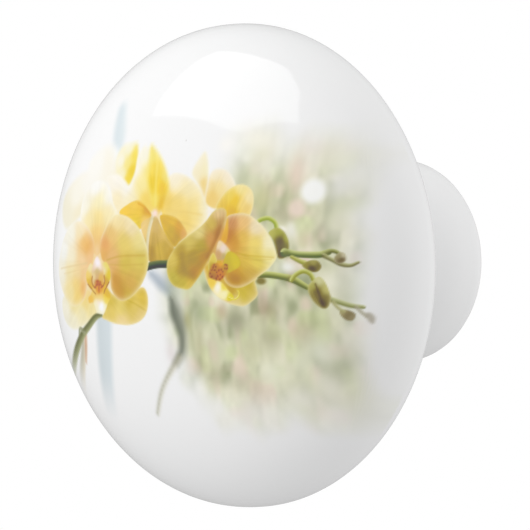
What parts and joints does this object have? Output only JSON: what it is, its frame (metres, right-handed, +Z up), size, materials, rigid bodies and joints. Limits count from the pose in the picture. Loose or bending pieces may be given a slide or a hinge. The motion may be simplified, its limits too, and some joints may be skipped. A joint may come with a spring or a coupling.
{
  "type": "drawer knob",
  "caption": "Round glazed ceramic drawer knob with a printed flower picture on its domed face and a tapped brass bush in its foot.",
  "frame": {"origin": "centre of the plane that the foot seats on", "axes": "+Y runs along the knob's axis from its face to its foot and points into the drawer front; the domed face looks along -Y; +Z is up, with the printed picture upright"},
  "size_m": [0.038, 0.0284, 0.038],
  "materials": {
    "glazed_body": "gloss",
    "bush": "satin",
    "cement": "matte"
  },
  "bodies": {
    "root": {"knob_body": "glazed_body", "threaded_bush": "bush", "bush_cement": "cement"}
  },
  "joints": []
}
